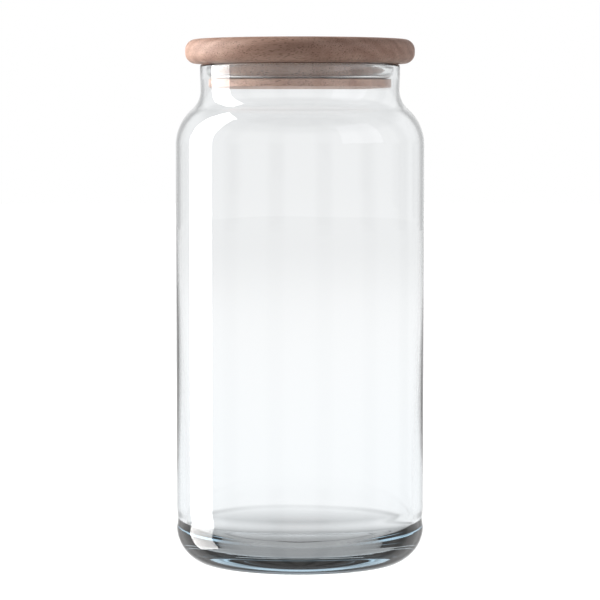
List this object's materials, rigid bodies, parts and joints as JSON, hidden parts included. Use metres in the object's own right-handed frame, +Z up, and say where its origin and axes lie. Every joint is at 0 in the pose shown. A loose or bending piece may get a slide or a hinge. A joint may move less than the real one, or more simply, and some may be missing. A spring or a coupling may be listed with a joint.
{
  "type": "lidded glass jar",
  "caption": "Clear glass storage jar with a straight body, round shoulder and short neck, closed by a turned wooden stopper lid with a clear sealing ring.",
  "frame": {"origin": "middle of the ring that the jar stands on, at the height of the table", "axes": "+Z up along the axis that every piece is turned about; X and Y are free, since the object is round"},
  "size_m": [0.106, 0.106, 0.2228],
  "materials": {
    "clear_glass": "clear, polished, faint green tint in the thick heel and lip",
    "beech": "fine-turned, oiled, short dark flecks",
    "clear_silicone": "clear, satin, slightly milky"
  },
  "bodies": {
    "jar": {"glass_jar": "clear_glass"},
    "seal": {"lid_gasket": "clear_silicone"},
    "lid": {"wooden_lid": "beech"}
  },
  "joints": [
    {"name": "lid_lift", "type": "slide", "parent": "jar", "child": "seal", "axis": [0, 0, 1], "range_m": [0, 0.06]},
    {"name": "lid_turn", "type": "hinge", "parent": "seal", "child": "lid", "pos_m": [0, 0, 0.209], "axis": [0, 0, 1], "continuous": true}
  ]
}
